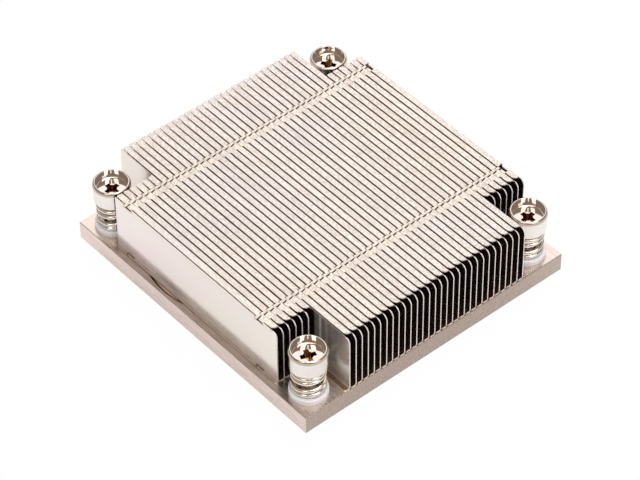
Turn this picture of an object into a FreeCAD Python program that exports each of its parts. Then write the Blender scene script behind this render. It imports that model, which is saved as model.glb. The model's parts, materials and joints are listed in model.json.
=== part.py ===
import FreeCAD, Part
import math
import os

os.makedirs("parts", exist_ok=True)

Vector = FreeCAD.Vector
UP = Vector(0, 0, 1)

# All sizes are in millimetres. X runs along the fins, Y across the stack, Z up.
# The origin is the middle of the base plate's underside, the face that meets the processor.

# Base plate
base_length = 90.0
base_width = 85.7
base_thickness = 5.5
base_edge_bevel = 0.15

# Fin stack, from the front (-Y) wall to the back
short_fin_count = 6
long_fin_count = 30
fin_height = 17.3
long_fin_setback = 0.4
screw_air_gap = 1.92
sheet_thickness = 0.3
bend_inner_radius = 0.15
flange_gap = 0.19
front_flange_gap = 0.03
front_wall_inset = 2.4
back_wall_inset = 1.41
outer_wall_foot_flat = 0.5
outer_wall_lip_flat = 0.1
web_corner_radius = 1.9
flange_corner_radius = 1.2
sheared_corner_radius = 0.35
sheared_flange_radius = 0.7
sheared_notch_depth = 0.95
foot_corner_radius = 0.5
bend_relief = 0.3

# Interlock between neighbouring fins, two rows along the top and two along the foot
lock_inset_left = 3.6
lock_inset_right = 5.0
lock_length = 3.2
lock_depth = 0.5
lock_hook_length = 1.1
lock_hook_depth = 0.9
lock_clearance = 0.1
lock_hook_gap = 0.3
lock_window_height = 1.0
lock_slit_width = 0.4
lock_bridge = 0.2
lock_slit_slant = 0.25

# Flattened heat pipe, soldered into a groove in the base plate
pipe_width = 7.0
pipe_thickness = 3.0
pipe_bend_radius = 23.5
pipe_edge_inset = 1.15
pipe_end_inset = 20.05
pipe_offset = 11.3
pipe_side_clearance = 0.35

# Spring screws at the four corners
screw_edge_inset = 6.5
thread_diameter = 4.0
thread_lead_in = 0.6
tip_projection = 5.0
hole_clearance = 0.6
head_diameter = 9.66
head_height = 5.75
head_bevel = 0.2
lip_diameter = 9.96
lip_height = 1.15
lip_bevel = 0.12
shoulder_height = 1.0
rim_diameter = 8.9
cup_diameter = 8.5
cup_depth = 2.5
cup_edge_radius = 0.1
cup_floor_radius = 0.25
round_steps = 4
recess_span = 4.1
recess_width = 1.35
recess_core_diameter = 2.6
recess_depth = 2.2
recess_taper = 0.62

# Spring, washer and retaining clip of each screw
spring_height = 7.75
spring_diameter = 9.0
spring_wire = 1.12
spring_coil_gap = 0.13
spring_lower_turns = 1.1
spring_open_turns = 1.25
spring_upper_turns = 1.5
spring_steps_a_turn = 16
washer_diameter = 10.06
washer_thickness = 1.5
washer_bevel = 0.25
clip_diameter = 7.6
clip_thickness = 0.8
clip_mouth_width = 2.6
clip_groove_depth = 0.45
clip_running_clearance = 0.05
clip_seat_gap = 0.05
clip_pocket_depth = 1.7
clip_pocket_clearance = 0.5
clip_window_turn = 120.0

# The four corners: side along X, side along Y, and where the cross recess and the spring's
# lower end have come to stop, in degrees from +X
corners = {
    "front_left": (-1, -1, 4.8, -63.0),
    "front_right": (1, -1, 69.4, -148.0),
    "back_left": (-1, 1, 33.2, 160.0),
    "back_right": (1, 1, 4.8, -102.0),
}

# Sizes that follow from the ones above
screw_spacing_x = base_length - 2 * screw_edge_inset
screw_spacing_y = base_width - 2 * screw_edge_inset

fin_gaps = 2 * short_fin_count + long_fin_count - 1
fin_pitch = (base_width - front_wall_inset - back_wall_inset - sheet_thickness) / fin_gaps
fin_top = base_thickness + fin_height
long_fin_length = base_length - 2 * long_fin_setback
short_fin_length = screw_spacing_x - lip_diameter - 2 * screw_air_gap
bend_outer_radius = bend_inner_radius + sheet_thickness
flange_reach = fin_pitch - flange_gap
front_flange_reach = fin_pitch - front_flange_gap
left_lock_start = lock_inset_left - short_fin_length / 2
right_lock_start = short_fin_length / 2 - lock_inset_right - lock_length
lock_starts = [left_lock_start, right_lock_start]
lock_floor = sheet_thickness + lock_clearance
beyond = fin_pitch

pipe_leg = base_width - pipe_edge_inset - pipe_end_inset - pipe_width - pipe_bend_radius
washer_top = base_thickness + washer_thickness
head_low = washer_top + spring_height
rim_height = head_low + head_height
cup_floor = rim_height - cup_depth
clip_top = clip_pocket_depth - clip_seat_gap
clip_low = clip_top - clip_thickness


def box(x_low, x_high, y_low, y_high, z_low, z_high):
    corner = Vector(x_low, y_low, z_low)
    return Part.makeBox(x_high - x_low, y_high - y_low, z_high - z_low, corner)


def moved(shape, x, y, z=0.0):
    copy = shape.copy()
    copy.translate(Vector(x, y, z))
    return copy


def on_arc(centre, radius, degrees):
    angle = math.radians(degrees)
    return centre + Vector(0, radius * math.cos(angle), radius * math.sin(angle))


def line(start, end):
    return Part.LineSegment(start, end).toShape()


def bend_arc(centre, radius, start, end):
    first = on_arc(centre, radius, start)
    middle = on_arc(centre, radius, (start + end) / 2)
    last = on_arc(centre, radius, end)
    return Part.Arc(first, middle, last).toShape()


# Fins: folded strips, drawn with the web's +Y face on Y = 0 and moved to their place in the stack

def strip_section(top_reach, foot_reach):
    # a web with a flange folded towards -Y at its top and its foot
    bend_y = -bend_outer_radius
    top_centre = Vector(0, bend_y, fin_top - bend_outer_radius)
    foot_centre = Vector(0, bend_y, base_thickness + bend_outer_radius)
    top_inside = fin_top - sheet_thickness
    foot_inside = base_thickness + sheet_thickness
    edges = [
        line(Vector(0, -top_reach, fin_top), Vector(0, bend_y, fin_top)),
        bend_arc(top_centre, bend_outer_radius, 90, 0),
        line(Vector(0, 0, top_centre.z), Vector(0, 0, foot_centre.z)),
        bend_arc(foot_centre, bend_outer_radius, 0, -90),
        line(Vector(0, bend_y, base_thickness), Vector(0, -foot_reach, base_thickness)),
        line(Vector(0, -foot_reach, base_thickness), Vector(0, -foot_reach, foot_inside)),
        line(Vector(0, -foot_reach, foot_inside), Vector(0, bend_y, foot_inside)),
        bend_arc(foot_centre, bend_inner_radius, -90, 0),
        line(Vector(0, -sheet_thickness, foot_centre.z), Vector(0, -sheet_thickness, top_centre.z)),
        bend_arc(top_centre, bend_inner_radius, 0, 90),
        line(Vector(0, bend_y, top_inside), Vector(0, -top_reach, top_inside)),
        line(Vector(0, -top_reach, top_inside), Vector(0, -top_reach, fin_top)),
    ]
    return Part.Face(Part.Wire(edges))


def on_side(side, shape):
    return shape if side > 0 else shape.mirror(Vector(0, 0, 0), Vector(1, 0, 0))


def web_corner_cutter(side, half_length, radius):
    # what is left outside a rounded top corner of the web
    inner = half_length - radius
    low = fin_top - radius
    block = box(inner, half_length + beyond, -flange_reach - beyond, beyond, low, fin_top + beyond)
    centre = Vector(inner, -flange_reach - beyond, low)
    rod = Part.makeCylinder(radius, flange_reach + 2 * beyond, centre, Vector(0, 1, 0))
    return on_side(side, block.cut(rod))


def flange_corner_cutter(side, end, reach, radius, z_low, z_high):
    # what is left outside a rounded corner of a flange's free edge
    size = min(radius, reach - bend_outer_radius)
    block = box(end - size, end + beyond, -reach - beyond, -reach + size, z_low, z_high)
    centre = Vector(end - size, -reach + size, z_low)
    return on_side(side, block.cut(Part.makeCylinder(size, z_high - z_low, centre, UP)))


def flange_end_cutters(side, flange_end, half, reach, z_low, z_high):
    # the flange stops before the web does, with a relief slot through the bend where it stops
    removed = box(flange_end, half + beyond, -reach - beyond, -sheet_thickness, z_low, z_high)
    relief = box(flange_end, flange_end + bend_relief, -reach - beyond, beyond, z_low, z_high)
    return [on_side(side, removed), on_side(side, relief)]


def sheared_end_notch(half, z_low, z_high):
    # the nick in the bend at the left end, where the flange runs out to the end of the sheet
    return box(-half - beyond, bend_relief - half, -sheared_notch_depth, beyond, z_low, z_high)


def lock_window(start, depth, hook_depth, z_low, z_high):
    # the opening in a bend that takes the next fin's tongue and hook
    slot = box(start, start + lock_length, -depth, beyond, z_low, z_high)
    notch = box(start, start + lock_hook_length, -hook_depth, beyond, z_low, z_high)
    return [slot, notch]


def lock_slit(start, reach, z_low, z_high):
    # the slanting cut between hook and tongue
    low_x = start + lock_hook_length
    high_x = low_x - lock_slit_slant
    low_y = -reach - flange_gap
    high_y = -lock_hook_depth - lock_bridge
    points = [
        Vector(low_x, low_y, z_low),
        Vector(low_x + lock_slit_width, low_y, z_low),
        Vector(high_x + lock_slit_width, high_y, z_low),
        Vector(high_x, high_y, z_low),
    ]
    return Part.Face(Part.makePolygon(points + points[:1])).extrude(Vector(0, 0, z_high - z_low))


def lock_tab(start, reach, z_low):
    # the hook and the tongue that enter the window of the fin before
    root = lock_slit_width - reach
    z_high = z_low + sheet_thickness
    tongue_end = lock_clearance - fin_pitch - lock_depth
    tongue_low = start + lock_hook_length + lock_slit_width
    tongue_high = start + lock_length - lock_clearance
    hook_end = lock_clearance - fin_pitch - lock_hook_depth
    hook_high = start + lock_hook_length - lock_clearance
    tongue = box(tongue_low, tongue_high, tongue_end, root, z_low, z_high)
    hook = box(start + lock_hook_gap, hook_high, hook_end, root, z_low, z_high)
    return [tongue, hook]


def folded_fin(length, flange_length, top_reach, foot_reach, with_tabs):
    # at the right the flange is set back and the web's corner is round; at the left both are sheared off
    half = length / 2
    left_end = flange_length / 2
    right_end = left_end - web_corner_radius
    strip = strip_section(top_reach, foot_reach).extrude(Vector(length, 0, 0))
    strip.translate(Vector(-half, 0, 0))

    top_low = fin_top - bend_outer_radius
    top_high = fin_top + beyond
    foot_low = base_thickness - beyond
    foot_high = base_thickness + bend_outer_radius
    cutters = [web_corner_cutter(1, half, web_corner_radius)]
    cutters.append(web_corner_cutter(-1, half, sheared_corner_radius))
    cutters += flange_end_cutters(1, right_end, half, top_reach, top_low, top_high)
    if flange_length < length:
        cutters += flange_end_cutters(-1, left_end, half, top_reach, top_low, top_high)
    else:
        cutters.append(sheared_end_notch(half, top_low, top_high))
    cutters.append(flange_corner_cutter(1, right_end, top_reach, flange_corner_radius, top_low, top_high))
    cutters.append(flange_corner_cutter(-1, left_end, top_reach, sheared_flange_radius, top_low, top_high))
    for side in (-1, 1):
        cutters.append(flange_corner_cutter(side, half, foot_reach, foot_corner_radius, foot_low, foot_high))

    window_depth = lock_depth if with_tabs else top_reach + flange_gap
    notch_depth = lock_hook_depth if with_tabs else top_reach + flange_gap
    for start in lock_starts:
        cutters += lock_window(start, window_depth, notch_depth, fin_top - lock_window_height, top_high)
        cutters += lock_window(start, lock_depth, lock_hook_depth, foot_low, base_thickness + lock_floor)
    fin = strip.cut(cutters)

    if with_tabs:
        tabs = []
        slits = []
        for start in lock_starts:
            tabs += lock_tab(start, top_reach, fin_top - sheet_thickness)
            tabs += lock_tab(start, foot_reach, base_thickness)
            slits.append(lock_slit(start, top_reach, top_low, top_high))
            slits.append(lock_slit(start, foot_reach, foot_low, foot_high))
        fin = fin.fuse(tabs).cut(slits)
    return fin.removeSplitter().Solids[0]


def build_fins():
    lip_reach = bend_outer_radius + outer_wall_lip_flat
    foot_reach = bend_outer_radius + outer_wall_foot_flat
    outer_wall = folded_fin(short_fin_length, short_fin_length, lip_reach, foot_reach, False)
    front_fin = folded_fin(short_fin_length, short_fin_length, front_flange_reach, flange_reach, True)
    short_fin = folded_fin(short_fin_length, short_fin_length, flange_reach, flange_reach, True)
    first_long = folded_fin(long_fin_length, short_fin_length, flange_reach, flange_reach, True)
    long_fin = folded_fin(long_fin_length, long_fin_length, flange_reach, flange_reach, True)

    patterns = short_fin_count * [short_fin] + long_fin_count * [long_fin] + short_fin_count * [short_fin]
    patterns[0] = outer_wall
    patterns[1] = front_fin
    patterns[short_fin_count] = first_long

    first_face = -base_width / 2 + front_wall_inset + sheet_thickness
    fins = {}
    for place, pattern in enumerate(patterns):
        fins["fin_%02d" % (place + 1)] = moved(pattern, 0, first_face + place * fin_pitch)
    return fins


# Heat pipe: a flattened pipe bent into a U that opens backwards

def pipe_section(width, thickness):
    # a flat band with full-round sides, standing on Z = 0 around the centre line
    radius = thickness / 2
    flat = width / 2 - radius
    edges = [
        line(Vector(-flat, 0, 0), Vector(flat, 0, 0)),
        Part.Arc(Vector(flat, 0, 0), Vector(width / 2, 0, radius), Vector(flat, 0, thickness)).toShape(),
        line(Vector(flat, 0, thickness), Vector(-flat, 0, thickness)),
        Part.Arc(Vector(-flat, 0, thickness), Vector(-width / 2, 0, radius), Vector(-flat, 0, 0)).toShape(),
    ]
    return Part.Face(Part.Wire(edges))


def groove_section(width, thickness):
    # the same band with its sides carried straight up, open at the top
    radius = thickness / 2
    half = width / 2
    top = thickness + beyond
    corner = radius - radius * math.cos(math.pi / 4)
    left_low = Vector(radius - half, 0, 0)
    right_low = Vector(half - radius, 0, 0)
    edges = [
        line(left_low, right_low),
        Part.Arc(right_low, Vector(half - corner, 0, corner), Vector(half, 0, radius)).toShape(),
        line(Vector(half, 0, radius), Vector(half, 0, top)),
        line(Vector(half, 0, top), Vector(-half, 0, top)),
        line(Vector(-half, 0, top), Vector(-half, 0, radius)),
        Part.Arc(Vector(-half, 0, radius), Vector(corner - half, 0, corner), left_low).toShape(),
    ]
    return Part.Face(Part.Wire(edges))


def u_shape(section, width):
    # the bend's centre is the origin, the bend is towards -Y and both legs run towards +Y
    bend = moved(section, pipe_bend_radius, 0).revolve(Vector(0, 0, 0), UP, -180)
    pieces = [bend]
    half_section = section.common(box(0, width, -beyond, beyond, -beyond, pipe_thickness + 2 * beyond))
    for side in (-1, 1):
        x = side * pipe_bend_radius
        pieces.append(moved(section, x, 0).extrude(Vector(0, pipe_leg, 0)))
        pieces.append(moved(half_section.revolve(Vector(0, 0, 0), UP, 180), x, pipe_leg))
    return pieces[0].fuse(pieces[1:]).removeSplitter()


def placed_u(shape):
    bend_y = -base_width / 2 + pipe_edge_inset + pipe_width / 2 + pipe_bend_radius
    return moved(shape, -pipe_offset, bend_y, base_thickness - pipe_thickness)


# Base plate

def corner_points():
    points = {}
    for name, (side_x, side_y, recess_turn, spring_turn) in corners.items():
        points[name] = (side_x * screw_spacing_x / 2, side_y * screw_spacing_y / 2)
    return points


def build_base():
    plate = box(-base_length / 2, base_length / 2, -base_width / 2, base_width / 2, 0, base_thickness)
    plate = plate.makeChamfer(base_edge_bevel, plate.Edges)
    pipe_groove_width = pipe_width + 2 * pipe_side_clearance
    cutters = [placed_u(u_shape(groove_section(pipe_groove_width, pipe_thickness), pipe_groove_width))]
    hole_radius = thread_diameter / 2 + hole_clearance
    pocket_radius = clip_diameter / 2 + clip_pocket_clearance
    for x, y in corner_points().values():
        low_centre = Vector(x, y, -beyond)
        cutters.append(Part.makeCylinder(hole_radius, base_thickness + 2 * beyond, low_centre, UP))
        cutters.append(Part.makeCylinder(pocket_radius, clip_pocket_depth + beyond, low_centre, UP))
    return plate.cut(cutters).removeSplitter().Solids[0]


# Spring screw and the pieces threaded on it, drawn round the Z axis

def turned(points):
    outline = Part.makePolygon([Vector(r, 0, z) for r, z in points + points[:1]])
    return Part.Face(outline).revolve(Vector(0, 0, 0), UP, 360)


def quarter_round(centre, radii, start):
    # points along a quarter of an ellipse, from the start angle on, counter-clockwise
    points = []
    for step in range(round_steps + 1):
        angle = math.radians(start + 90 * step / round_steps)
        points.append((centre[0] + radii[0] * math.cos(angle), centre[1] + radii[1] * math.sin(angle)))
    return points


def screw_blank():
    shank = thread_diameter / 2
    clip_groove = shank - clip_groove_depth
    head = head_diameter / 2
    lip = lip_diameter / 2
    rim = rim_diameter / 2
    cup = cup_diameter / 2
    lip_low = rim_height - lip_height
    shoulder_low = rim_height - shoulder_height
    outline = [
        (0, -tip_projection),
        (shank - thread_lead_in, -tip_projection),
        (shank, thread_lead_in - tip_projection),
        (shank, clip_low - clip_running_clearance),
        (clip_groove, clip_low - clip_running_clearance),
        (clip_groove, clip_top + clip_running_clearance),
        (shank, clip_top + clip_running_clearance),
        (shank, head_low),
        (head - head_bevel, head_low),
        (head, head_low + head_bevel),
        (head, lip_low),
        (lip, lip_low + lip_bevel),
    ]
    outline += quarter_round((rim, shoulder_low), (lip - rim, shoulder_height), 0)
    outline += [
        (cup + cup_edge_radius, rim_height),
        (cup, rim_height - cup_edge_radius),
    ]
    bowl = (cup - cup_floor_radius, cup_floor + cup_floor_radius)
    outline += reversed(quarter_round(bowl, (cup_floor_radius, cup_floor_radius), -90))
    outline.append((0, cup_floor))
    return turned(outline)


def recess_wings(turn):
    # two tapered blades that cross on the axis, and a tapered core where they meet
    def outline(span, wing, z):
        half_span = span / 2
        half_wing = wing / 2
        points = [Vector(-half_span, -half_wing, z), Vector(half_span, -half_wing, z)]
        points += [Vector(half_span, half_wing, z), Vector(-half_span, half_wing, z)]
        return Part.makePolygon(points + points[:1])
    recess_floor = cup_floor - recess_depth
    open_end = outline(recess_span, recess_width, cup_floor)
    mouth = outline(recess_span, recess_width, cup_floor + cup_depth / 2)
    deep_end = outline(recess_span * recess_taper, recess_width * recess_taper, recess_floor)
    blade = Part.makeLoft([deep_end, open_end], True, True)
    clear = Part.makeLoft([open_end, mouth], True, True)
    blade = blade.fuse(clear)
    core_radius = recess_core_diameter / 2
    deep_centre = Vector(0, 0, recess_floor)
    core = Part.makeCone(core_radius * recess_taper, core_radius, recess_depth, deep_centre, UP)
    cutters = [core, Part.makeCylinder(core_radius, cup_depth / 2, Vector(0, 0, cup_floor), UP)]
    for angle in (turn, turn + 90):
        copy = blade.copy()
        copy.rotate(Vector(0, 0, 0), UP, angle)
        cutters.append(copy)
    return cutters


def spring_path():
    # nearly closed end turns and an open middle
    radius = (spring_diameter - spring_wire) / 2
    rise = spring_height - spring_wire
    closed_pitch = spring_wire + spring_coil_gap
    lower_rise = spring_lower_turns * closed_pitch
    upper_rise = spring_upper_turns * closed_pitch
    open_rise = rise - lower_rise - upper_rise
    total_turns = spring_lower_turns + spring_open_turns + spring_upper_turns
    steps = int(round(total_turns * spring_steps_a_turn))
    start = washer_top + spring_wire / 2
    points = []
    for step in range(steps + 1):
        turn = total_turns * step / steps
        if turn <= spring_lower_turns:
            height = closed_pitch * turn
        elif turn >= total_turns - spring_upper_turns:
            height = rise - closed_pitch * (total_turns - turn)
        else:
            height = lower_rise + open_rise * (turn - spring_lower_turns) / spring_open_turns
        angle = 2 * math.pi * turn
        points.append(Vector(radius * math.cos(angle), radius * math.sin(angle), start + height))
    curve = Part.BSplineCurve()
    curve.interpolate(points)
    return curve


def build_spring():
    curve = spring_path()
    first = curve.FirstParameter
    tangent = curve.tangent(first)[0]
    profile = Part.Wire(Part.makeCircle(spring_wire / 2, curve.value(first), tangent))
    return Part.Wire(curve.toShape()).makePipeShell([profile], True, True)


def build_washer():
    outer = washer_diameter / 2
    inner = thread_diameter / 2 + hole_clearance
    return turned([
        (inner, base_thickness),
        (outer, base_thickness),
        (outer, washer_top - washer_bevel),
        (outer - washer_bevel, washer_top),
        (inner, washer_top),
    ])


def build_clip():
    # an E-shaped ring with an open mouth and three inner pads
    outer = clip_diameter / 2
    pad = thread_diameter / 2 - clip_groove_depth + clip_running_clearance
    relief = (outer + pad) / 2
    disc = Part.makeCylinder(outer, clip_thickness, Vector(0, 0, clip_low), UP)
    bore = Part.makeCylinder(pad, clip_thickness + 2 * beyond, Vector(0, 0, clip_low - beyond), UP)
    half_mouth = clip_mouth_width / 2
    mouth = box(0, outer + beyond, -half_mouth, half_mouth, clip_low - beyond, clip_top + beyond)
    cutters = [bore, mouth]
    window_radius = relief - pad
    for angle in (clip_window_turn, -clip_window_turn):
        x = relief * math.cos(math.radians(angle))
        y = relief * math.sin(math.radians(angle))
        low_centre = Vector(x, y, clip_low - beyond)
        cutters.append(Part.makeCylinder(window_radius / 2, clip_thickness + 2 * beyond, low_centre, UP))
    return disc.cut(cutters).removeSplitter().Solids[0]


def build_screws():
    blank = screw_blank()
    spring = build_spring()
    washer = build_washer()
    clip = build_clip()
    nodes = {}
    for name, (x, y) in corner_points().items():
        recess_turn, spring_turn = corners[name][2:]
        screw = blank.cut(recess_wings(recess_turn)).removeSplitter().Solids[0]
        turned_spring = spring.copy()
        turned_spring.rotate(Vector(0, 0, 0), UP, spring_turn)
        nodes["screw_" + name] = moved(screw, x, y)
        nodes["spring_" + name] = moved(turned_spring, x, y)
        nodes["clip_" + name] = moved(clip, x, y)
        nodes["washer_" + name] = moved(washer, x, y)
    return nodes


nodes = {"base_plate": build_base()}
nodes["heat_pipe"] = placed_u(u_shape(pipe_section(pipe_width, pipe_thickness), pipe_width)).Solids[0]
nodes.update(build_fins())
nodes.update(build_screws())

for name, shape in nodes.items():
    shape.exportStep("parts/%s.step" % name)
    facts = (name, len(shape.Solids), shape.isValid(), shape.Volume)
    print("%-20s solids %d  valid %s  volume %.2f mm3" % facts)
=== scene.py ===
# %% [markdown]
# # A low heat sink for a server processor
#
# The real object is a thick milled plate with 42 folded sheet fins soldered on top, a flattened
# copper pipe let into the plate, and a spring screw in each corner. The CAD frame already holds
# every piece at its real size, so this file gives the pieces their finish, replaces what needs a
# livelier shape than CAD gives, and sets up a small white studio with the photograph's camera.

import json
import math

import bpy
from mathutils import Matrix, Vector, noise

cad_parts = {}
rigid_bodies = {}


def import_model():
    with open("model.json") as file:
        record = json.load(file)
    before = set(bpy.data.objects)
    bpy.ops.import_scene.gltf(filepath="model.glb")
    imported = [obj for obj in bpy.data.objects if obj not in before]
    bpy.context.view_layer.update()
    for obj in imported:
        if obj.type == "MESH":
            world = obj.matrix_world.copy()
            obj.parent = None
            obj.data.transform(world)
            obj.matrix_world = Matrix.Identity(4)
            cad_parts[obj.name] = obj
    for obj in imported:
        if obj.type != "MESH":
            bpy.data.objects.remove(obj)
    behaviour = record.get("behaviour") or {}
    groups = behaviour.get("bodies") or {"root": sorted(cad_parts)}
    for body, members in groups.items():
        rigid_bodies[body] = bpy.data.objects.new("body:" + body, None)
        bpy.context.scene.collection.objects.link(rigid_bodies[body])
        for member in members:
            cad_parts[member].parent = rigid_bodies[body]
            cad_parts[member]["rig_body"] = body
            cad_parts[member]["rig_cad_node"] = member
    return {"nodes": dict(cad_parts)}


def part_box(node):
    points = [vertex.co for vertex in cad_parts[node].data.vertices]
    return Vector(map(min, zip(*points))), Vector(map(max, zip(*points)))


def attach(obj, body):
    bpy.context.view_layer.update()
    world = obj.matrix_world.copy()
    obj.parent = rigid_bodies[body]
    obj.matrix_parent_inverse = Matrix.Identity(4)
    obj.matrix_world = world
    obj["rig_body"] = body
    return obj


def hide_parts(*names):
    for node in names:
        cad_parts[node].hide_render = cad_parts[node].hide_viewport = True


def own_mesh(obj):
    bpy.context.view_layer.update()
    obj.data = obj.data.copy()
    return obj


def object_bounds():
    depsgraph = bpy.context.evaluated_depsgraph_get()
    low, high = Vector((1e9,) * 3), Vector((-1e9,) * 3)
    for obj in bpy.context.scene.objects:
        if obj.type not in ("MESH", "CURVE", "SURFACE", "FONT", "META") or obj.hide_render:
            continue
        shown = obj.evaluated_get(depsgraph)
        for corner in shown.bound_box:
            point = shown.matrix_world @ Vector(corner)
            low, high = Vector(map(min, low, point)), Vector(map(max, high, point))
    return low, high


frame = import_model()
nodes = frame["nodes"]
cad_box = [list(corner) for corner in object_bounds()]
MM = 0.001
CORNERS = ("front_left", "front_right", "back_left", "back_right")
FINS = sorted(name for name in nodes if name.startswith("fin_"))
print("pieces in the frame:", len(nodes), "fins:", len(FINS))

# %% [markdown]
# ## Camera
#
# The photograph was taken with a long lens from above the front right corner. A camera that looks
# at a point by a constraint would do, but here the view comes from numbers that were fitted to the
# photograph: two angles, a slight roll, the distance, and how far the middle of the picture lies
# from the middle of the object. The camera's own axes are worked out from them and written
# straight into its matrix.

# %% Camera
AZIMUTH = math.radians(49.772)
ELEVATION = math.radians(44.751)
ROLL = math.radians(-0.534)
DISTANCE = 785.89 * MM
OFFSET_RIGHT = 0.183 * MM
OFFSET_UP = 3.335 * MM
FOCAL_PIXELS = 3054.2
PICTURE_WIDTH = 640
SENSOR_WIDTH = 36.0


def direction(azimuth, elevation):
    """The way from the object to someone who looks at it from these angles."""
    return Vector((math.sin(azimuth) * math.cos(elevation),
                   -math.cos(azimuth) * math.cos(elevation),
                   math.sin(elevation)))


def camera_axes(azimuth, elevation, roll):
    back = direction(azimuth, elevation)
    level = Vector((math.cos(azimuth), math.sin(azimuth), 0))
    rise = back.cross(level)
    right = math.cos(roll) * level + math.sin(roll) * rise
    up = math.cos(roll) * rise - math.sin(roll) * level
    return right, up, back


right, up, back = camera_axes(AZIMUTH, ELEVATION, ROLL)
bpy.ops.object.camera_add()
camera = bpy.context.object
camera.name = "photo_camera"
place = back * DISTANCE + right * OFFSET_RIGHT + up * OFFSET_UP
camera.matrix_world = Matrix.Translation(place) @ Matrix((right, up, back)).transposed().to_4x4()
camera.data.sensor_width = SENSOR_WIDTH
camera.data.lens = FOCAL_PIXELS / PICTURE_WIDTH * SENSOR_WIDTH
camera.data.clip_start = 0.01
camera.data.clip_end = 20
bpy.context.scene.camera = camera
print("lens %.1f mm" % camera.data.lens)

# %% [markdown]
# ## A white room
#
# Bright metal shows what stands around it, so the studio matters as much as the material. A white
# floor and a pale world give the soft, even light of a product picture. A plain white world would
# be simpler, but the metal would lose its browns. So Light Path tells each shader which kind of
# ray asks: the camera gets white, and every other ray sees the real room.


# %% Node helpers
def feed(tree, socket, value):
    """Give a socket a constant, or link another node's output to it."""
    if isinstance(value, bpy.types.NodeSocket):
        tree.links.new(value, socket)
    elif socket.type == "RGBA":
        socket.default_value = (*value, 1)
    else:
        socket.default_value = value


def add_node(tree, kind, **settings):
    """Add a node and set its sockets, or what isn't a socket, by name."""
    made = tree.nodes.new(kind)
    for name, value in settings.items():
        if name in made.inputs:
            feed(tree, made.inputs[name], value)
        else:
            setattr(made, name, value)
    return made


def maths(tree, operation, *values, clamp=False):
    made = add_node(tree, "ShaderNodeMath", operation=operation, use_clamp=clamp)
    for socket, value in zip(made.inputs, values):
        feed(tree, socket, value)
    return made.outputs[0]


def white_to_camera(tree, output, real, white, share=1.0):
    path = add_node(tree, "ShaderNodeLightPath")
    choose = add_node(tree, "ShaderNodeMixShader")
    feed(tree, choose.inputs[0], maths(tree, "MULTIPLY", path.outputs["Is Camera Ray"], share))
    feed(tree, choose.inputs[1], real.outputs[0])
    feed(tree, choose.inputs[2], white.outputs[0])
    feed(tree, output.inputs[0], choose.outputs[0])


# %% World
ROOM_COLOUR = (1.0, 0.87, 0.78)
ROOM_STRENGTH = 0.34

world = bpy.data.worlds.new("pale_room")
bpy.context.scene.world = world
world.use_nodes = True
tree = world.node_tree
tree.nodes.clear()
output = add_node(tree, "ShaderNodeOutputWorld")
room = add_node(tree, "ShaderNodeBackground", Color=ROOM_COLOUR, Strength=ROOM_STRENGTH)
white = add_node(tree, "ShaderNodeBackground", Color=(1, 1, 1), Strength=1.0)
white_to_camera(tree, output, room, white)
print("world:", world.name)

# %% Floor
FLOOR_SIZE = 3.0
FLOOR_GAP = 0.02 * MM
PAPER_COLOUR = (0.86, 0.86, 0.86)
GLOW_SHARE = 0.985


def new_material(name):
    material = bpy.data.materials.new(name)
    material.use_nodes = True
    material.node_tree.nodes.clear()
    return material, material.node_tree


floor_height = cad_box[0][2] - FLOOR_GAP
bpy.ops.mesh.primitive_plane_add(size=FLOOR_SIZE, location=(0, 0, floor_height))
floor = bpy.context.object
floor.name = "studio_floor"
floor.data.transform(floor.matrix_world)
floor.matrix_world = Matrix.Identity(4)
material, tree = new_material("white_paper")
output = add_node(tree, "ShaderNodeOutputMaterial")
paper = add_node(tree, "ShaderNodeBsdfDiffuse", Color=PAPER_COLOUR)
glow = add_node(tree, "ShaderNodeEmission", Color=(1, 1, 1), Strength=1.0)
white_to_camera(tree, output, paper, glow, GLOW_SHARE)
floor.data.materials.append(material)
print("floor %.2f mm below the plate's underside" % (-floor_height / MM))

# %% [markdown]
# ## Lamps
#
# The photograph's fin tops are bright from behind and above, while the dark channels between the
# fins get no light from the camera's side. Point lamps would leave hard glints on the nickel.
# Large soft boxes reflect as broad white bands, as on the screw heads in the photograph, so each
# lamp here is an area lamp that looks at the object.

# %% Lamps
LAMP_TARGET = Vector((0, 0, 0.01))
LAMP_ELEVATION = math.radians(47)
LAMP_DISTANCE = 1.2


def softbox(name, place, width, height, power):
    bpy.ops.object.light_add(type="AREA", location=place)
    lamp = bpy.context.object
    lamp.name = name
    lamp.data.shape = "RECTANGLE"
    lamp.data.size = width
    lamp.data.size_y = height
    lamp.data.energy = power
    lamp.rotation_euler = (LAMP_TARGET - Vector(place)).to_track_quat("-Z", "Y").to_euler()
    return lamp


def beside_camera(turn):
    """A place about as high as the camera, turned round the object by some degrees."""
    return LAMP_DISTANCE * direction(AZIMUTH + math.radians(turn), LAMP_ELEVATION)


lamps = [
    softbox("back_left_softbox", (-0.62, 0.52, 0.80), 1.1, 1.1, 3.9),
    softbox("back_low_softbox", (-0.62, 0.95, 0.22), 1.2, 0.35, 0.9),
    softbox("top_softbox", (0.25, 0.05, 1.3), 0.8, 0.8, 7.8),
    softbox("right_softbox", (1.1, 0.15, 0.45), 0.55, 0.55, 1.2),
    softbox("camera_left_softbox", beside_camera(-35), 0.40, 0.60, 1.7),
    softbox("camera_right_softbox", beside_camera(35), 0.40, 0.60, 1.7),
    softbox("camera_strip_softbox", beside_camera(1), 0.09, 0.50, 0.25),
]
print("soft boxes:", len(lamps))

# %% [markdown]
# ## Grain
#
# Rolled sheet has faint lines along its length, and milled metal has the marks of its cutter. A
# picture of such lines would stretch and repeat. Noise in Object coordinates doesn't: multiplied
# by a smaller number along one axis it draws itself out into lines along that axis. A node group
# holds the effect once, and each material sets its own stretch, scale and contrast.


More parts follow.
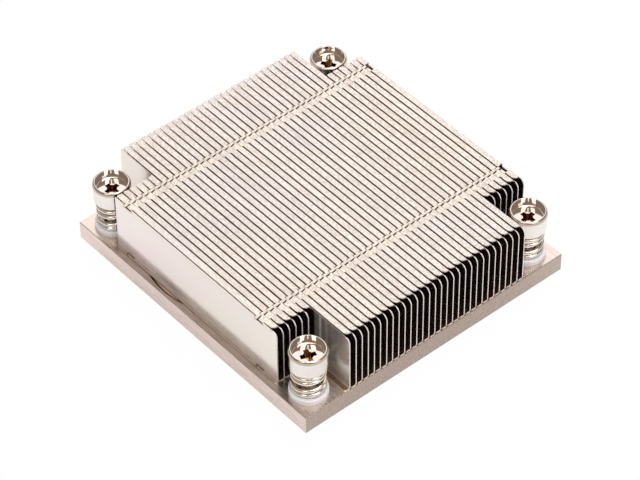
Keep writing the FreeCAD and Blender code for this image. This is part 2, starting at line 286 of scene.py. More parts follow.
# %% Group: stretched grain
def make_group(name, output, **inputs):
    """A node group with one value as its output, and number or vector inputs."""
    group = bpy.data.node_groups.new(name, "ShaderNodeTree")
    for label, value in inputs.items():
        kind = "NodeSocketVector" if isinstance(value, tuple) else "NodeSocketFloat"
        socket = group.interface.new_socket(name=label, in_out="INPUT", socket_type=kind)
        socket.default_value = value
    group.interface.new_socket(name=output, in_out="OUTPUT", socket_type="NodeSocketFloat")
    start = add_node(group, "NodeGroupInput")
    end = add_node(group, "NodeGroupOutput")
    return group, start.outputs, end.inputs[output]


def make_grain_group():
    group, given, result = make_group("Stretched grain", "Grain",
                                      Stretch=(1, 1, 1), Scale=400.0, Contrast=0.5)
    place = add_node(group, "ShaderNodeTexCoord")
    drawn = add_node(group, "ShaderNodeVectorMath", operation="MULTIPLY")
    feed(group, drawn.inputs[0], place.outputs["Object"])
    feed(group, drawn.inputs[1], given["Stretch"])
    pattern = add_node(group, "ShaderNodeTexNoise", Detail=4.0, Roughness=0.6,
                       Vector=drawn.outputs[0], Scale=given["Scale"])
    centred = maths(group, "SUBTRACT", pattern.outputs[0], 0.5)
    stronger = maths(group, "MULTIPLY", centred, given["Contrast"])
    feed(group, result, maths(group, "ADD", stronger, 0.5, clamp=True))
    return group


grain_group = make_grain_group()
print("group:", grain_group.name)

# %% [markdown]
# ## Tarnish on the fins
#
# Heat and handling have yellowed the sheet in soft patches, and most along the two rows where
# the fins lock into each other. Each fin is also its own piece of sheet, with a shade of its own.
# Painted masks would do, but both follow from where a point lies: its distance from a row along X,
# and the number of its fin along Y, which draws a random shade.


# %% Group: beside a lock row
def object_axes(tree):
    """The three Object coordinates, each as a value of its own."""
    place = add_node(tree, "ShaderNodeTexCoord")
    split = add_node(tree, "ShaderNodeSeparateXYZ", Vector=place.outputs["Object"])
    return split.outputs


def ramp(tree, value, low, high, start=0.0, stop=1.0):
    """Go from low to high while the value goes from start to stop."""
    change = add_node(tree, "ShaderNodeMapRange", Value=value)
    for label, limit in (("From Min", start), ("From Max", stop),
                         ("To Min", low), ("To Max", high)):
        feed(tree, change.inputs[label], limit)
    return change.outputs[0]


ROWS = (-26.4 * MM, 25.0 * MM)  # where the two lock rows run, along X
BAND_EDGE = 3.6 * MM            # from a row to where its stain begins
BAND_FULL = 1.2 * MM            # and to where it is full
BAND_STRENGTH = 0.7


def make_row_group():
    group, _, result = make_group("Beside a lock row", "Mask")
    along = object_axes(group)["X"]
    away = [maths(group, "ABSOLUTE", maths(group, "SUBTRACT", along, row)) for row in ROWS]
    nearest = maths(group, "MINIMUM", *away)
    feed(group, result, ramp(group, nearest, 0.0, BAND_STRENGTH, BAND_EDGE, BAND_FULL))
    return group


row_group = make_row_group()
print("group:", row_group.name)

# %% Group: one shade for each fin
FIRST_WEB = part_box("fin_01")[1][1]
FIN_PITCH = (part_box("fin_42")[1][1] - FIRST_WEB) / (len(FINS) - 1)


def make_tint_group():
    group, _, result = make_group("One shade a fin", "Shade")
    across = maths(group, "SUBTRACT", object_axes(group)["Y"], FIRST_WEB)
    number = maths(group, "CEIL", maths(group, "DIVIDE", across, FIN_PITCH))
    chance = add_node(group, "ShaderNodeTexWhiteNoise", noise_dimensions="1D", W=number)
    feed(group, result, chance.outputs["Value"])
    return group


tint_group = make_tint_group()
print("group:", tint_group.name, "fin pitch %.3f mm" % (FIN_PITCH / MM))

# %% [markdown]
# ## Bare metal
#
# Fins, springs and rings are bare metal and differ only in colour, grain and shine. One function
# builds them all: the grain chooses between a dark and a light colour, larger clouds soften it,
# and the same grain drives roughness and a fine relief, so that the three agree. A separate
# texture for each would cost more and could disagree.

# %% Metal maker
RELIEF_DEPTH = 0.02 * MM
EVEN = (1, 1, 1)
CLOUD_SHARE = 0.35


def use_group(tree, group, **values):
    return add_node(tree, "ShaderNodeGroup", node_tree=group, **values).outputs[0]


def mix_colours(tree, factor, first, second, blend="MIX"):
    mix = add_node(tree, "ShaderNodeMix", data_type="RGBA", blend_type=blend, Factor=factor)
    feed(tree, mix.inputs[6], first)
    feed(tree, mix.inputs[7], second)
    return mix.outputs[2]


def finish_material(material, colour, roughness, relief=None, strength=0.0, **settings):
    """End a material with its Principled shader and, where given, a relief."""
    tree = material.node_tree
    output = add_node(tree, "ShaderNodeOutputMaterial")
    shader = add_node(tree, "ShaderNodeBsdfPrincipled", **settings)
    feed(tree, shader.inputs["Base Color"], colour)
    feed(tree, shader.inputs["Roughness"], roughness)
    if relief is not None:
        bump = add_node(tree, "ShaderNodeBump", Strength=strength, Distance=RELIEF_DEPTH,
                        Height=relief)
        feed(tree, shader.inputs["Normal"], bump.outputs[0])
    feed(tree, output.inputs[0], shader.outputs[0])
    return material


def grained_metal(name, dark, light, stretch, scale, contrast, shine, bump, metal=1.0,
                  tarnish=None):
    material, tree = new_material(name)
    grain = use_group(tree, grain_group, Stretch=stretch, Scale=scale, Contrast=contrast)
    clouds = use_group(tree, grain_group, Stretch=EVEN, Scale=90.0, Contrast=1.6)
    fine = mix_colours(tree, grain, dark, light)
    middle = tuple((a + b) / 2 for a, b in zip(dark, light))
    cloudy = mix_colours(tree, clouds, middle, light)
    colour = mix_colours(tree, CLOUD_SHARE, fine, cloudy)
    if tarnish is not None:
        colour = tarnish(tree, colour, dark)
    roughness = ramp(tree, grain, *shine)
    return finish_material(material, colour, roughness, grain, bump, Metallic=metal)


# %% Tarnish for the fin tops
DARKER_FIN = 0.82
SHADE_SHARE = 0.15
COOL_HUE = (0.98, 0.97, 1.0)
WARM_HUE = (1.0, 0.975, 0.93)
ROW_HUE = (1.0, 0.955, 0.88)


def fin_tarnish(tree, colour, dark):
    darker = tuple(DARKER_FIN * value for value in dark)
    shade = ramp(tree, use_group(tree, tint_group), 0.0, SHADE_SHARE)
    colour = mix_colours(tree, shade, colour, darker)
    haze = use_group(tree, grain_group, Stretch=EVEN, Scale=26.0, Contrast=3.2)
    hue = mix_colours(tree, haze, COOL_HUE, WARM_HUE)
    hue = mix_colours(tree, use_group(tree, row_group), hue, ROW_HUE)
    return mix_colours(tree, 1.0, colour, hue, blend="MULTIPLY")


# %% Bare metal finishes
finishes = {
    "fin": grained_metal(
        "rolled_sheet", dark=(0.50, 0.44, 0.40), light=(1.0, 0.97, 0.94), stretch=(0.7, 1, 1),
        scale=3800.0, contrast=11.0, shine=(0.28, 0.46), bump=0.9, tarnish=fin_tarnish),
    # Painted shade: the outer shoulder of each screw head is painted darker than the nickel.
    "shoulder": grained_metal(
        "shoulder_painted_shade", dark=(0.48, 0.40, 0.34), light=(0.72, 0.63, 0.55), stretch=EVEN,
        scale=1200.0, contrast=1.4, shine=(0.16, 0.28), bump=0.1),
    # Painted shade: the cut edges of the tops are painted dark, for the shade in the gaps.
    "lip": grained_metal(
        "lip_painted_gap_shade", dark=(0.30, 0.18, 0.11), light=(0.54, 0.38, 0.27), stretch=(0.3, 1, 1),
        scale=900.0, contrast=1.2, shine=(0.40, 0.60), bump=0.1, metal=0.6),
    # Painted shade: the sides of the last fin's windows are painted near black.
    "hollow": grained_metal(
        "window_painted_shade", dark=(0.02, 0.015, 0.01), light=(0.06, 0.05, 0.04), stretch=(0.3, 1, 1),
        scale=900.0, contrast=1.2, shine=(0.50, 0.70), bump=0.1, metal=0.2),
    # Painted shade: the sides down in the channels are painted dark brown.
    "channel": grained_metal(
        "channel_painted_shade", dark=(0.32, 0.21, 0.16), light=(0.52, 0.37, 0.29), stretch=(0.3, 1, 1),
        scale=900.0, contrast=1.2, shine=(0.22, 0.34), bump=0.1),
    # Painted reflection: the shank is painted brown for the spring's turns it mirrors.
    "shank": grained_metal(
        "shank_painted_reflection", dark=(0.46, 0.32, 0.22), light=(0.80, 0.62, 0.47), stretch=EVEN,
        scale=900.0, contrast=1.2, shine=(0.28, 0.42), bump=0.1, metal=0.7),
    "spring": grained_metal(
        "spring_wire", dark=(0.72, 0.65, 0.57), light=(0.94, 0.89, 0.82), stretch=EVEN,
        scale=900.0, contrast=1.0, shine=(0.08, 0.16), bump=0.08),
    "clip": grained_metal(
        "stamped_ring", dark=(0.20, 0.19, 0.18), light=(0.40, 0.38, 0.36), stretch=EVEN,
        scale=700.0, contrast=1.2, shine=(0.30, 0.45), bump=0.2),
}
print("bare metal finishes:", ", ".join(sorted(finishes)))

# %% [markdown]
# ## Nickel on the screws
#
# The screw heads are turned steel with bright nickel plate. The inside of the cup is painted
# greyer than the outside, and the cross recess in its floor brown and dark: both are painted
# shade. Separate materials would need faces chosen by hand. Instead a group measures how deep a
# point lies in the hollow round a screw's axis, and the painted shade grows with that depth. All
# four screws are found at once, since they stand at the same distances left and right, and front
# and back, of the middle.


# %% Group: how deep a point lies in the hollow of a screw's head, for its painted shade
def axis_of(name):
    """Where the upright axis of a piece stands, as x and y."""
    low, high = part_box(name)
    return (low[0] + high[0]) / 2, (low[1] + high[1]) / 2


SCREW_X, SCREW_Y = (abs(value) for value in axis_of("screw_front_left"))


def make_hollow_shade_group():
    group, given, result = make_group("Painted shade depth in a hollow", "Mask", Radius=0.002, Mouth=0.0,
                                      Full=-0.001, Bottom=-0.002)
    axes = object_axes(group)
    off = add_node(group, "ShaderNodeCombineXYZ")
    for axis, spacing in (("X", SCREW_X), ("Y", SCREW_Y)):
        size = maths(group, "ABSOLUTE", axes[axis])
        feed(group, off.inputs[axis], maths(group, "SUBTRACT", size, spacing))
    radius = add_node(group, "ShaderNodeVectorMath", operation="LENGTH")
    feed(group, radius.inputs[0], off.outputs[0])
    near = maths(group, "LESS_THAN", radius.outputs["Value"], given["Radius"])
    depth = ramp(group, axes["Z"], 0.0, 1.0, given["Mouth"], given["Full"])
    above = maths(group, "GREATER_THAN", axes["Z"], given["Bottom"])
    inside = maths(group, "MULTIPLY", near, depth)
    feed(group, result, maths(group, "MULTIPLY", inside, above))
    return group


hollow_shade_group = make_hollow_shade_group()
print("group:", hollow_shade_group.name, "screws at %.2f, %.2f mm" % (SCREW_X / MM, SCREW_Y / MM))

# %% Nickel
CUP_DEPTH = 2.5 * MM
CUP_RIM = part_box("screw_front_left")[1][2]
CUP_FLOOR = CUP_RIM - CUP_DEPTH
CUP_RADIUS = 4.3 * MM
RECESS_RADIUS = 2.2 * MM
RECESS_DEPTH = 2.4 * MM
# The two fades below say where the painted shade of the cup and of the recess begins and is full.
CUP_SHADE_FADE = (0.05 * MM, 0.3 * MM)      # below the rim: where the cup's colour starts and is full
RECESS_SHADE_FADE = (0.02 * MM, 0.35 * MM)  # the same below the cup's floor
CUP_PAINTED_SHADE = (0.76, 0.68, 0.61)
RECESS_PAINTED_SHADE = (0.46, 0.31, 0.22)


def nickel_material():
    material, tree = new_material("bright_nickel")
    grain = use_group(tree, grain_group, Stretch=(1, 1, 0.3), Scale=900.0, Contrast=1.0)
    cup_shade = use_group(tree, hollow_shade_group, Radius=CUP_RADIUS, Mouth=CUP_RIM - CUP_SHADE_FADE[0],
                    Full=CUP_RIM - CUP_SHADE_FADE[1], Bottom=CUP_FLOOR - RECESS_DEPTH)
    recess_shade = use_group(tree, hollow_shade_group, Radius=RECESS_RADIUS,
                       Mouth=CUP_FLOOR - RECESS_SHADE_FADE[0], Full=CUP_FLOOR - RECESS_SHADE_FADE[1],
                       Bottom=CUP_FLOOR - RECESS_DEPTH)
    plate = mix_colours(tree, grain, (0.88, 0.84, 0.81), (0.97, 0.95, 0.93))
    # Painted shade: the cup's inside is painted greyer and the cross recess brown and dark.
    plate = mix_colours(tree, cup_shade, plate, CUP_PAINTED_SHADE)
    colour = mix_colours(tree, recess_shade, plate, RECESS_PAINTED_SHADE)
    roughness = ramp(tree, grain, 0.05, 0.11)
    return finish_material(material, colour, roughness, grain, 0.06, Metallic=1.0)


finishes["nickel"] = nickel_material()
print("finish:", finishes["nickel"].name)

# %% [markdown]
# ## Outer walls and sheared edges
#
# The two outer walls are the smoothest sheet on the object and mirror the room, but near the plate
# the solder has left them dull. A Map Range over the height makes them rougher down there. The
# sheet's sheared edges are broken metal that scatters light and looks almost white, so their
# shader is only partly metallic. One finish with a mask could hold both, but two are easier to
# read.

# %% Outer walls
PLATE_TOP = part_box("base_plate")[1][2]
DULL_HEIGHT = 5 * MM


def wall_material():
    material, tree = new_material("bright_wall")
    clouds = use_group(tree, grain_group, Stretch=(0.6, 1, 1), Scale=45.0, Contrast=2.6)
    lines = use_group(tree, grain_group, Stretch=(0.1, 1, 1), Scale=900.0, Contrast=0.8)
    colour = mix_colours(tree, clouds, (0.98, 0.90, 0.92), (0.98, 0.96, 0.88))
    roughness = ramp(tree, object_axes(tree)["Z"], 0.16, 0.36, PLATE_TOP + DULL_HEIGHT, PLATE_TOP)
    return finish_material(material, colour, roughness, lines, 0.05, Metallic=0.82)


finishes["wall"] = wall_material()
print("finish:", finishes["wall"].name)


# %% Sheared edge of the sheet
def edge_material():
    material, tree = new_material("sheared_edge")
    grain = use_group(tree, grain_group, Stretch=(1, 1, 0.3), Scale=1500.0, Contrast=1.4)
    colour = mix_colours(tree, grain, (0.80, 0.75, 0.71), (0.98, 0.96, 0.94))
    return finish_material(material, colour, ramp(tree, grain, 0.4, 0.6), Metallic=0.35)


finishes["edge"] = edge_material()
print("finish:", finishes["edge"].name)

# %% [markdown]
# ## Plate, pipe and washers
#
# The plate's top is grained along the fins and browner than its sides: partly darker oxide and
# flux, partly painted shade under the fins. Its sides are paler with soft stains, and its right
# end is painted darker than the rest, as painted shade. The copper pipe is bright on top and
# painted black down its flank, as painted shade in its groove. The washers are white nylon, which
# lets a little light in. Faces of the plate could carry three materials, but masks by height and
# length fade over its edges without a seam.

# %% Milled plate: brown grained top with painted shade, pale sides, right end in painted shade
PLATE_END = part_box("base_plate")[1][0]


def plate_material():
    material, tree = new_material("milled_plate")
    marks = use_group(tree, grain_group, Stretch=(0.12, 1, 1), Scale=1300.0, Contrast=1.8)
    clouds = use_group(tree, grain_group, Stretch=EVEN, Scale=120.0, Contrast=1.8)
    # The top is browner than the sides: partly oxide and flux, partly painted shade under the fins.
    top = mix_colours(tree, marks, (0.64, 0.54, 0.49), (0.84, 0.74, 0.68))
    side = mix_colours(tree, marks, (0.74, 0.63, 0.59), (0.95, 0.86, 0.82))
    side = mix_colours(tree, ramp(tree, clouds, 0.0, 0.5), side, (0.86, 0.71, 0.67))
    # Painted shade: the right end is painted darker than the other sides.
    right_end_shade = mix_colours(tree, marks, (0.45, 0.37, 0.33), (0.57, 0.48, 0.43))
    axes = object_axes(tree)
    at_end = ramp(tree, axes["X"], 0.0, 1.0, PLATE_END - 0.05 * MM, PLATE_END - 0.02 * MM)
    on_top = ramp(tree, axes["Z"], 0.0, 1.0, PLATE_TOP - 0.12 * MM, PLATE_TOP - 0.03 * MM)
    colour = mix_colours(tree, on_top, mix_colours(tree, at_end, side, right_end_shade), top)
    roughness = ramp(tree, marks, 0.2, 0.36)
    return finish_material(material, colour, roughness, marks, 0.2, Metallic=1.0)


finishes["base"] = plate_material()
print("finish:", finishes["base"].name)

# %% Copper pipe: bright on top, painted shade down its flank in the groove
PIPE_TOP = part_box("heat_pipe")[1][2]
GROOVE_SHADE_START = PIPE_TOP - 0.52 * MM
GROOVE_SHADE_FULL = PIPE_TOP - 0.66 * MM


def copper_material():
    material, tree = new_material("dull_copper")
    grain = use_group(tree, grain_group, Stretch=EVEN, Scale=500.0, Contrast=1.2)
    bare_copper = mix_colours(tree, grain, (0.95, 0.58, 0.42), (1.0, 0.80, 0.66))
    # Painted shade: down its flank in the groove the copper is painted near black.
    groove_shade = ramp(tree, object_axes(tree)["Z"], 0.0, 1.0, GROOVE_SHADE_START, GROOVE_SHADE_FULL)
    colour = mix_colours(tree, groove_shade, bare_copper, (0.05, 0.03, 0.02))
    return finish_material(material, colour, ramp(tree, grain, 0.30, 0.45), Metallic=0.7)


finishes["copper"] = copper_material()
print("finish:", finishes["copper"].name)


# %% White nylon washers
def nylon_material():
    material, tree = new_material("white_nylon_moulded")
    clouds = use_group(tree, grain_group, Stretch=EVEN, Scale=400.0, Contrast=1.4)
    colour = mix_colours(tree, clouds, (0.88, 0.87, 0.91), (0.96, 0.96, 1.0))
    return finish_material(material, colour, ramp(tree, clouds, 0.35, 0.5),
                           **{"Subsurface Weight": 0.15, "Subsurface Scale": 1.0 * MM})


finishes["nylon"] = nylon_material()
print("finish:", finishes["nylon"].name)

# %% Give each CAD piece its finish
FINISH_OF = {"fin": "fin", "base": "base", "heat": "copper", "screw": "nickel",
             "spring": "spring", "clip": "clip", "washer": "nylon"}
for name, node in nodes.items():
    node.data.materials.clear()
    node.data.materials.append(finishes[FINISH_OF[name.split("_")[0]]])
print("finished pieces:", len(nodes))

# %% [markdown]
# ## Fins with a little life
#
# The CAD fins are perfectly straight and all alike. Real ones are 0.3 mm sheet: each leans and
# waves by a few hundredths of a millimetre, and that is what breaks up the reflections. Six fins
# are enough as patterns, since the rest repeat them. Each pattern is a merged copy of its CAD mesh,
# cut across by planes so that it can bend, and every fin is a copy of a pattern with its own wave.
# No further fin fills the last fin's two top windows, so a Boolean modifier cuts those open.

# %% Copies of CAD pieces
NEAR = 0.001 * MM
SMOOTH_ANGLE = math.radians(35)


def make_active(piece):
    bpy.ops.object.select_all(action="DESELECT")
    piece.select_set(True)
    bpy.context.view_layer.objects.active = piece


def own_copy(source, new_name):
    """A duplicate that no longer counts as the frame's own piece."""
    make_active(source)
    bpy.ops.object.duplicate()
    piece = bpy.context.object
    piece.name = new_name
    piece.parent = None
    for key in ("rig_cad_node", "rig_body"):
        if key in piece:
            del piece[key]
    return piece


def open_merged():
    """Open the active CAD mesh for editing, with its doubled points merged."""
    bpy.ops.mesh.customdata_custom_splitnormals_clear()
    bpy.ops.object.mode_set(mode="EDIT")
    bpy.ops.mesh.select_all(action="SELECT")
    bpy.ops.mesh.remove_doubles(threshold=NEAR)


print("points closer than %.3f mm are merged" % (NEAR / MM))

# %% The last fin's open windows
FIN_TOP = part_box("fin_02")[1][2]
SHORT_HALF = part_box("fin_02")[1][0]
LAST_FIN = "fin_42"
WINDOW_STARTS = (3.6 * MM - SHORT_HALF, SHORT_HALF - 8.2 * MM)
WINDOW_SIZE = (2.8 * MM, 1.3 * MM, 1.6 * MM)
WINDOW_REACH = 0.38 * MM  # from the fin's outer side to the window
WINDOW_SIDE = 0.17 * MM   # keeps the cutter off the slot's own side


def open_windows(piece):
    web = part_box(LAST_FIN)[1][1]
    across = web - WINDOW_REACH - WINDOW_SIZE[1] / 2
    bpy.ops.object.mode_set(mode="OBJECT")
    for start in WINDOW_STARTS:
        centre = (start + WINDOW_SIDE + WINDOW_SIZE[0] / 2, across, FIN_TOP)
        bpy.ops.mesh.primitive_cube_add(size=1, location=centre, scale=WINDOW_SIZE)
        cutter = bpy.context.object
        hole = piece.modifiers.new("window", "BOOLEAN")
        hole.object = cutter
        hole.operation = "DIFFERENCE"
        make_active(piece)
        bpy.ops.object.modifier_apply(modifier="window")
        bpy.data.objects.remove(cutter)
    bpy.ops.object.mode_set(mode="EDIT")
    bpy.ops.mesh.select_all(action="SELECT")


print("windows in the last fin:", len(WINDOW_STARTS))

# %% Pattern fins
SHEET = 0.3 * MM
LONG_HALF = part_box("fin_08")[1][0]
CUT_SPACING = 4.0 * MM
CUT_LEVELS = (7.5 * MM, 11.0 * MM, 15.0 * MM, 19.0 * MM)
FLAT_ANGLE = math.radians(0.5)
FIRST_FIN = "fin_01"
FIRST_LONG = "fin_07"
LAST_LONG = "fin_36"
PATTERN_OF = {name: "fin_08" for name in FINS}
PATTERN_OF.update({name: "fin_03" for name in FINS[2:6] + FINS[36:]})
PATTERN_OF.update({name: name for name in (FIRST_FIN, "fin_02", FIRST_LONG, LAST_FIN)})


def cut_across(positions, normal):
    for position in positions:
        bpy.ops.mesh.select_all(action="SELECT")
        bpy.ops.mesh.bisect(plane_co=position, plane_no=normal)


def make_pattern(name):
    piece = own_copy(nodes[name], name + "_pattern")
    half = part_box(name)[1][0]
    steps = int(half // CUT_SPACING)
    marks = [step * CUT_SPACING for step in range(-steps, steps + 1)]
    if half > SHORT_HALF + CUT_SPACING:
        marks += [-SHORT_HALF, SHORT_HALF]
    open_merged()
    bpy.ops.mesh.dissolve_limited(angle_limit=FLAT_ANGLE)
    if name == LAST_FIN:
        open_windows(piece)
    cut_across([(x, 0, 0) for x in marks], (1, 0, 0))
    cut_across([(0, 0, z) for z in CUT_LEVELS], (0, 0, 1))
    bpy.ops.object.mode_set(mode="OBJECT")
    return piece


patterns = {name: make_pattern(name) for name in sorted(set(PATTERN_OF.values()))}
for name, piece in patterns.items():
    print(name, "pattern, faces:", len(piece.data.polygons))

# %% Wave, lean and end of each fin
LEAN, LEAN_LENGTH = 0.035 * MM, 32 * MM
RIPPLE, RIPPLE_LENGTH, RIPPLE_SEED = 0.012 * MM, 9 * MM, 50
DROOP, DROOP_LENGTH, DROOP_SEED = 0.02 * MM, 24 * MM, 9
END_PLAY, PLAY_SEED = 0.12 * MM, 3
SEED_STEP = 7.31
FLANGE_DEPTH = 0.5 * MM


def held(value):
    return min(1.0, max(0.0, value))


def wave(place, web, point):
    """How far a point of a fin moves; the foot stays on the plate."""
    seed = SEED_STEP * place
    rise = held((point.z - PLATE_TOP) / (FIN_TOP - PLATE_TOP))
    out = held((web - SHEET - point.y) / FIN_PITCH)
    near_top = 1.0 if point.z > FIN_TOP - FLANGE_DEPTH else 0.0
    lean = LEAN * noise.noise(Vector((point.x / LEAN_LENGTH, seed, 0)))
    ripple = RIPPLE * noise.noise(Vector((point.x / RIPPLE_LENGTH, seed + RIPPLE_SEED,
                                          point.z / RIPPLE_LENGTH)))
    droop = DROOP * (1 + noise.noise(Vector((point.x / DROOP_LENGTH, seed + DROOP_SEED, 0))))
    stretch = END_PLAY * noise.noise(Vector((0.5, seed + PLAY_SEED, 0))) * point.x / LONG_HALF
    return Vector((stretch, (lean + ripple) * rise, -droop * out * near_top))


print("largest lean %.3f mm" % (LEAN / MM))

# %% [markdown]
# ## Which finish each face of a fin gets
#
# One fin shows several looks: a bright top, its cut edges painted dark as painted shade, which
# draw the lines of shade between the tops, pale sheared ends, and sides down in the channels
# painted brown as painted shade. The sides of the last fin's two windows are painted near black,
# as painted shade. A mask in one shader could sort these out by position, but every face already
# knows where it looks, so the faces get their finish by their normal and their place. A normal's
# share along an axis is 1 when the face looks straight that way and 0 when it looks square to it.

# %% Face finishes
FACE_FINISHES = ("fin", "wall", "channel", "edge", "base", "lip", "hollow")
FOLD = 0.45 * MM  # height of the sheet's rounded fold
TURNED = 0.3      # share from which a face counts as turned to one side
STRAIGHT = 0.9    # share from which it looks almost straight that way
DOWNWARD = -0.5
END_SHARE, END_LIMIT = 0.12, 0.1  # an end looks along X by this share, and across by less


def in_window(centre):
    beside = any(start < centre.x < start + WINDOW_SIZE[0] + 2 * WINDOW_SIDE
                 for start in WINDOW_STARTS)
    return beside and centre.z > FIN_TOP - WINDOW_SIZE[2]


def face_finish(name, centre, normal):
    outside = abs(centre.x) > SHORT_HALF
    front_seen = name == FIRST_FIN or (name == FIRST_LONG and outside)
    back_seen = name == LAST_FIN or (name == LAST_LONG and outside)
    # The sides of the last fin's windows are painted near black, as painted shade.
    if name == LAST_FIN and in_window(centre) and abs(normal.z) < TURNED and normal.y < TURNED:
        return "hollow"
    if abs(normal.x) > END_SHARE and abs(normal.y) < END_LIMIT:
        return "edge"
    # The cut edge of each top gets the lip finish, painted dark as the shade of its gap.
    if name != FIRST_FIN and normal.y < -STRAIGHT and centre.z > FIN_TOP - SHEET:
        return "lip"
    if name == FIRST_FIN and normal.y < TURNED and centre.z < PLATE_TOP + FOLD:
        return "base"
    if (front_seen and normal.y < -TURNED) or (back_seen and normal.y > TURNED):
        return "wall"
    # Faces down in the channels get the painted shade of the channel finish.
    if centre.z <= FIN_TOP - FOLD or normal.z < DOWNWARD:
        return "channel"
    return "fin"


def dress_fin(place, name):
    pattern = PATTERN_OF[name]
    piece = own_copy(patterns[pattern], name + "_folded")
    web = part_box(name)[1][1]
    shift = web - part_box(pattern)[1][1]
    mesh = piece.data
    mesh.transform(Matrix.Translation((0, shift, 0)))
    mesh.materials.clear()
    for finish in FACE_FINISHES:
        mesh.materials.append(finishes[finish])
    for face in mesh.polygons:
        face.material_index = FACE_FINISHES.index(face_finish(name, face.center, face.normal))
    for vertex in mesh.vertices:
        vertex.co += wave(place, web, vertex.co)
    bpy.ops.object.shade_smooth_by_angle(angle=SMOOTH_ANGLE)
    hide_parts(name)
    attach(piece, "root")
    return piece


folded = [dress_fin(place, name) for place, name in enumerate(FINS)]
for piece in patterns.values():
    bpy.data.objects.remove(piece)
print("folded fins:", len(folded), "faces:", sum(len(piece.data.polygons) for piece in folded))

# %% [markdown]
# ## Threads on the screws
#
# Below the plate each screw ends in a 4 mm thread. A thread is one zigzag profile that climbs by
# its pitch while it goes round the axis, which is what the Screw modifier does. The profile is
# drawn by extruding a single vertex, the modifier winds it up, and two flat cuts close it at both
# ends. The winding starts below the tip by a number of turns that isn't whole, so that the lower
# cut meets no edge of the thread.

# %% One thread, on the Z axis
THREAD_PITCH = 0.7 * MM
THREAD_CREST = 2.0 * MM
THREAD_ROOT = 1.6 * MM
THREAD_FLAT = 0.08 * MM  # width of its crest and of its root
THREAD_TOP = -0.4 * MM
THREAD_LEAD = 0.6 * MM   # height of the tapered tip
THREAD_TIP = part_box("screw_front_left")[0][2]
THREAD_STEPS = 24
THREAD_START = 2.37 * THREAD_PITCH
SPARE_TURNS = 4


def slice_off(height, keep_below):
    """Cut the open mesh flat at a height, keep one side and close it."""
    bpy.ops.mesh.select_all(action="SELECT")
    bpy.ops.mesh.bisect(plane_co=(0, 0, height), plane_no=(0, 0, 1), use_fill=True,
                        clear_outer=keep_below, clear_inner=not keep_below, threshold=NEAR)


def draw_profile():
    slope = (THREAD_PITCH - 2 * THREAD_FLAT) / 2
    cut = THREAD_CREST - THREAD_ROOT
    bpy.ops.mesh.merge(type="CENTER")
    bpy.ops.transform.translate(value=(THREAD_CREST, 0, THREAD_TIP - THREAD_START))
    for step in ((0, 0, THREAD_FLAT), (-cut, 0, slope), (0, 0, THREAD_FLAT), (cut, 0, slope)):
        bpy.ops.mesh.extrude_region_move(TRANSFORM_OT_translate={"value": step})


def wind_up(thread):
    winding = thread.modifiers.new("winding", "SCREW")
    winding.angle = 2 * math.pi
    winding.screw_offset = THREAD_PITCH
    winding.iterations = math.ceil((THREAD_TOP - THREAD_TIP) / THREAD_PITCH) + SPARE_TURNS
    winding.steps = THREAD_STEPS
    winding.render_steps = THREAD_STEPS
    winding.use_merge_vertices = True
    bpy.ops.object.modifier_apply(modifier="winding")


def taper_tip(thread):
    for vertex in thread.data.vertices:
        lead = THREAD_CREST - max(0.0, THREAD_TIP + THREAD_LEAD - vertex.co.z)
        radius = math.hypot(vertex.co.x, vertex.co.y)
        if radius > lead:
            vertex.co.x *= lead / radius
            vertex.co.y *= lead / radius


def make_thread():
    bpy.ops.object.select_all(action="DESELECT")
    bpy.ops.mesh.primitive_plane_add(size=MM, location=(0, 0, 0))
    thread = bpy.context.object
    thread.name = "thread_pattern"
    bpy.ops.object.mode_set(mode="EDIT")
    draw_profile()
    bpy.ops.object.mode_set(mode="OBJECT")
    wind_up(thread)
    bpy.ops.object.mode_set(mode="EDIT")
    bpy.ops.mesh.select_all(action="SELECT")
    bpy.ops.mesh.remove_doubles(threshold=NEAR)
    slice_off(THREAD_TOP, keep_below=True)
    slice_off(THREAD_TIP, keep_below=False)
    bpy.ops.mesh.select_all(action="SELECT")
    bpy.ops.mesh.normals_make_consistent(inside=False)
    bpy.ops.object.mode_set(mode="OBJECT")
    taper_tip(thread)
    return thread


thread_pattern = make_thread()
print("thread faces:", len(thread_pattern.data.polygons))

# %% [markdown]
# ## Screws
#
# Each screw is a copy of its CAD mesh, cut off where the thread begins, with a copy of the thread
# joined on below. The nickel on its outer shoulder is rougher and painted darker, as painted
# shade, and the shank that shows between the spring's turns is painted brown, as a painted
# reflection of the turns. Both are found by their radius and height, as a face's place on a
# turned part says all about it.

# %% Screws with their threads
SHANK_REACH = 3.3 * MM  # radius within which the shank lies
SHOULDER = 1.05 * MM    # height of the dull shoulder below the rim
NEARLY_UP = 0.95
SCREW_FINISHES = ("nickel", "shank", "shoulder")
SPRING_FOOT, SPRING_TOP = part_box("spring_front_left")[0][2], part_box("spring_front_left")[1][2]


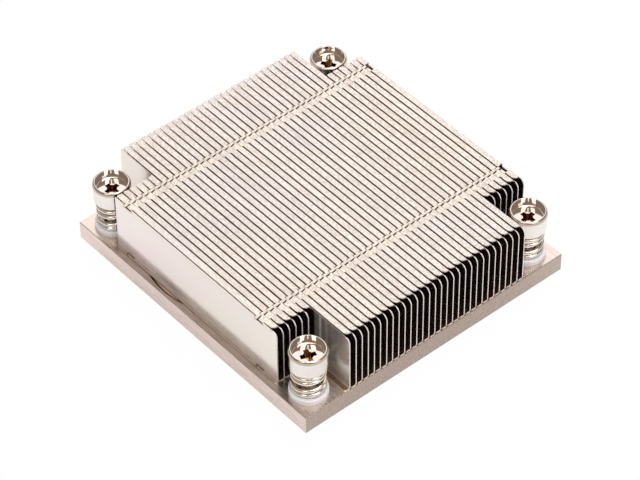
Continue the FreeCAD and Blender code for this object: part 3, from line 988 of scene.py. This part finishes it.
def screw_finish(reach, face, top):
    # The shank between the spring's turns gets its painted reflection.
    if reach < SHANK_REACH and SPRING_FOOT < face.center.z < SPRING_TOP:
        return "shank"
    # The outer shoulder gets its painted shade, darker and rougher than the nickel.
    if reach > CUP_RADIUS and face.center.z > top - SHOULDER and face.normal.z < NEARLY_UP:
        return "shoulder"
    return "nickel"


def dress_screw(corner):
    name = "screw_" + corner
    piece = own_copy(nodes[name], name + "_threaded")
    open_merged()
    slice_off(THREAD_TOP, keep_below=False)
    bpy.ops.object.mode_set(mode="OBJECT")
    thread = own_copy(thread_pattern, name + "_thread")
    middle = Vector((*axis_of(name), 0))
    thread.data.transform(Matrix.Translation(middle))
    thread.data.materials.clear()
    thread.data.materials.append(finishes["nickel"])
    for finish in SCREW_FINISHES[1:]:
        piece.data.materials.append(finishes[finish])
    low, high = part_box(name)
    for face in piece.data.polygons:
        reach = (face.center - middle).xy.length
        face.material_index = SCREW_FINISHES.index(screw_finish(reach, face, high[2]))
    thread.select_set(True)
    piece.select_set(True)
    bpy.context.view_layer.objects.active = piece
    bpy.ops.object.join()
    bpy.ops.object.shade_smooth_by_angle(angle=SMOOTH_ANGLE)
    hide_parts(name)
    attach(piece, name)
    return piece


threaded = [dress_screw(corner) for corner in CORNERS]
bpy.data.objects.remove(thread_pattern)
print("threaded screws:", len(threaded), "faces each:", len(threaded[0].data.polygons))

# %% [markdown]
# ## Springs
#
# When a screw is pressed down its spring gets shorter: the top goes with the screw and the foot
# stays on the washer. Here each spring is a merged copy of its CAD mesh, shaded smooth and
# attached to its corner's plunge body; it is not made to flatten.


def dress_spring(corner):
    name = "spring_" + corner
    piece = own_copy(nodes[name], name + "_wound")
    open_merged()
    bpy.ops.object.mode_set(mode="OBJECT")
    bpy.ops.object.shade_smooth_by_angle(angle=SMOOTH_ANGLE)
    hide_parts(name)
    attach(piece, "plunge_" + corner)
    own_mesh(piece)
    return piece


wound = [dress_spring(corner) for corner in CORNERS]
print("wound springs:", len(wound), "faces each:", len(wound[0].data.polygons))

# %% [markdown]
# ## Picture settings
#
# A film-like view transform would grey the white background, so the picture is shown with the
# Standard one.

# %% Picture settings
bpy.context.scene.view_settings.view_transform = "Standard"
